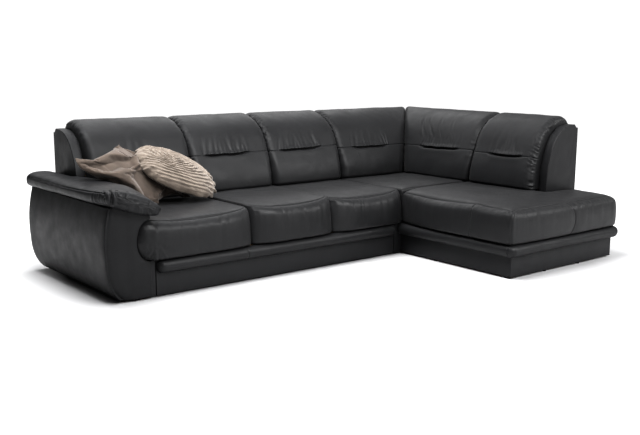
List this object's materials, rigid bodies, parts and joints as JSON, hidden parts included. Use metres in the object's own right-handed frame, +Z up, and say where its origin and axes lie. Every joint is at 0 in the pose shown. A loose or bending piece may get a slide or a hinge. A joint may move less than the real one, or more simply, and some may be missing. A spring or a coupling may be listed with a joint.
{
  "type": "corner sofa with pull-out bed",
  "caption": "Padded leather corner sofa with a chaise on the right, high cushioned backrest, one padded arm, a pull-out bed under the long seat, and loose scatter cushions.",
  "frame": {"origin": "middle of the bounding box, on the floor", "axes": "+X to the right along the long run as a person in front sees it, +Y to the rear, +Z up"},
  "size_m": [3.175, 1.967, 0.8922],
  "materials": {
    "leather_cushions": "satin anthracite leather, smooth, fine grain",
    "leather_padding": "satin anthracite leather over padding",
    "leather_panels": "satin anthracite leather, drawn flat over boards",
    "rear_lining": "woven dark lining",
    "frame_timber": "planed softwood",
    "bed_timber": "planed softwood and bent slats",
    "plywood": "sanded plywood",
    "spring_wire": "drawn wire",
    "steel_fittings": "zinc plated",
    "black_plastic": "matte",
    "webbing": "woven elastic",
    "mattress_cover": "woven, quilted",
    "taupe_cloth": "soft suede-like cloth",
    "pleated_cloth": "thin cloth in gathered folds"
  },
  "bodies": {
    "sofa": {"bench_side_board_left": "leather_panels", "bench_side_board_right": "leather_panels", "bench_rear_board": "rear_lining", "bench_deck_rails": "frame_timber", "bench_seat_frames": "frame_timber", "bench_springs": "spring_wire", "seat_cushion_left": "leather_cushions", "seat_cushion_middle": "leather_cushions", "seat_cushion_right": "leather_cushions", "bed_guide_rails": "frame_timber", "floor_glides": "black_plastic", "module_bolts": "steel_fittings", "plinth_panel_inner": "leather_panels", "plinth_panel_front": "leather_panels", "plinth_panel_right": "leather_panels", "plinth_panel_rear": "rear_lining", "roll_inner": "leather_padding", "roll_front": "leather_padding", "roll_right": "leather_padding", "corner_deck_rails": "frame_timber", "corner_bottom_board": "plywood", "corner_seat_frames": "frame_timber", "corner_springs": "spring_wire", "seat_cushion_corner": "leather_cushions", "seat_cushion_ottoman": "leather_cushions", "back_ribs_bench": "plywood", "back_rails_bench": "frame_timber", "back_webbing_bench": "webbing", "back_rear_panel_bench": "rear_lining", "back_end_pad_left": "leather_padding", "back_ribs_corner": "plywood", "back_rails_corner": "frame_timber", "back_webbing_corner": "webbing", "back_rear_panel_corner": "rear_lining", "back_right_panel_corner": "rear_lining", "back_end_pad_right": "leather_padding", "back_cushion_1": "leather_cushions", "back_cushion_2": "leather_cushions", "back_cushion_3": "leather_cushions", "back_cushion_4": "leather_cushions", "back_cushion_5": "leather_cushions", "back_cushion_6": "leather_cushions", "arm_outer_panel": "leather_panels", "arm_inner_panel": "leather_panels", "arm_front_panel": "leather_panels", "arm_rear_panel": "rear_lining", "arm_ribs": "plywood", "arm_pad_board": "plywood", "arm_pad": "leather_padding", "arm_bolts": "steel_fittings", "scatter_cushion_plain": "taupe_cloth", "scatter_cushion_pleated": "pleated_cloth"},
    "bed_drawer": {"bed_front_panel": "leather_panels", "bed_front_roll": "leather_padding", "bed_frame": "bed_timber", "bed_slats": "bed_timber", "bed_mattress": "mattress_cover", "bed_roller_forks": "steel_fittings"},
    "front_rollers": {"bed_rollers_front": "black_plastic"},
    "rear_rollers": {"bed_rollers_rear": "black_plastic"}
  },
  "joints": [
    {"name": "bed_slide", "type": "slide", "parent": "sofa", "child": "bed_drawer", "axis": [0, -1, 0], "range_m": [0, 0.78]},
    {"name": "front_roller_spin", "type": "hinge", "parent": "bed_drawer", "child": "front_rollers", "pos_m": [0, 0.0435, 0.02], "axis": [1, 0, 0], "continuous": true},
    {"name": "rear_roller_spin", "type": "hinge", "parent": "bed_drawer", "child": "rear_rollers", "pos_m": [0, 0.8435, 0.02], "axis": [1, 0, 0], "continuous": true}
  ],
  "couplings": [
    {"joint": "front_roller_spin", "follows": "bed_slide", "rad_per_m": 50},
    {"joint": "rear_roller_spin", "follows": "bed_slide", "rad_per_m": 50}
  ]
}
